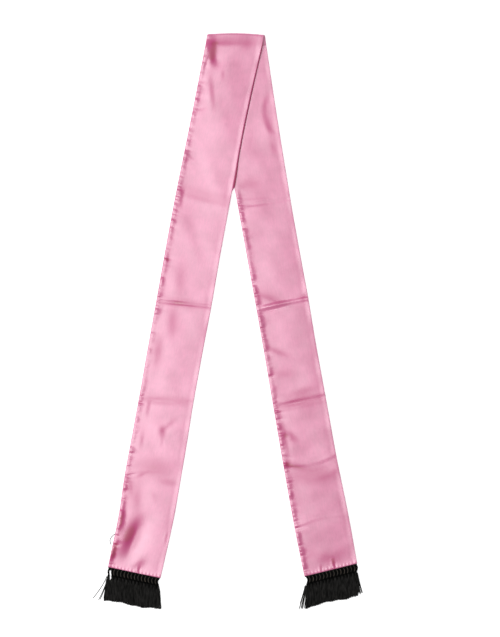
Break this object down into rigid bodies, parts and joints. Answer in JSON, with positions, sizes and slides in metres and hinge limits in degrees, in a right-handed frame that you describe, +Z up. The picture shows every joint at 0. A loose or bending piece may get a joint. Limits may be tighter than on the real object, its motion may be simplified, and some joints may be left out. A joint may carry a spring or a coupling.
{
  "type": "fringed silk scarf",
  "caption": "Long narrow scarf of plain satin silk, a flat sewn tube with a knotted fringe at each hem, laid flat, folded across its middle with its tails spread apart.",
  "frame": {"origin": "bottom centre of the bounding box, on the surface that the scarf lies on", "axes": "+Z up from the surface, +Y along the scarf from the fringed hems to the fold, +X across it to the right seen from above"},
  "size_m": [0.4395, 0.9521, 0.0069],
  "materials": {
    "silk_satin": "pink silk satin, smooth, with a soft sheen that changes with the direction of the light",
    "fringe_yarn": "black twisted yarn, slightly lustrous"
  },
  "bodies": {
    "root": {"over_tail": "silk_satin", "under_tail": "silk_satin", "over_fringe": "fringe_yarn", "under_fringe": "fringe_yarn"}
  },
  "joints": []
}
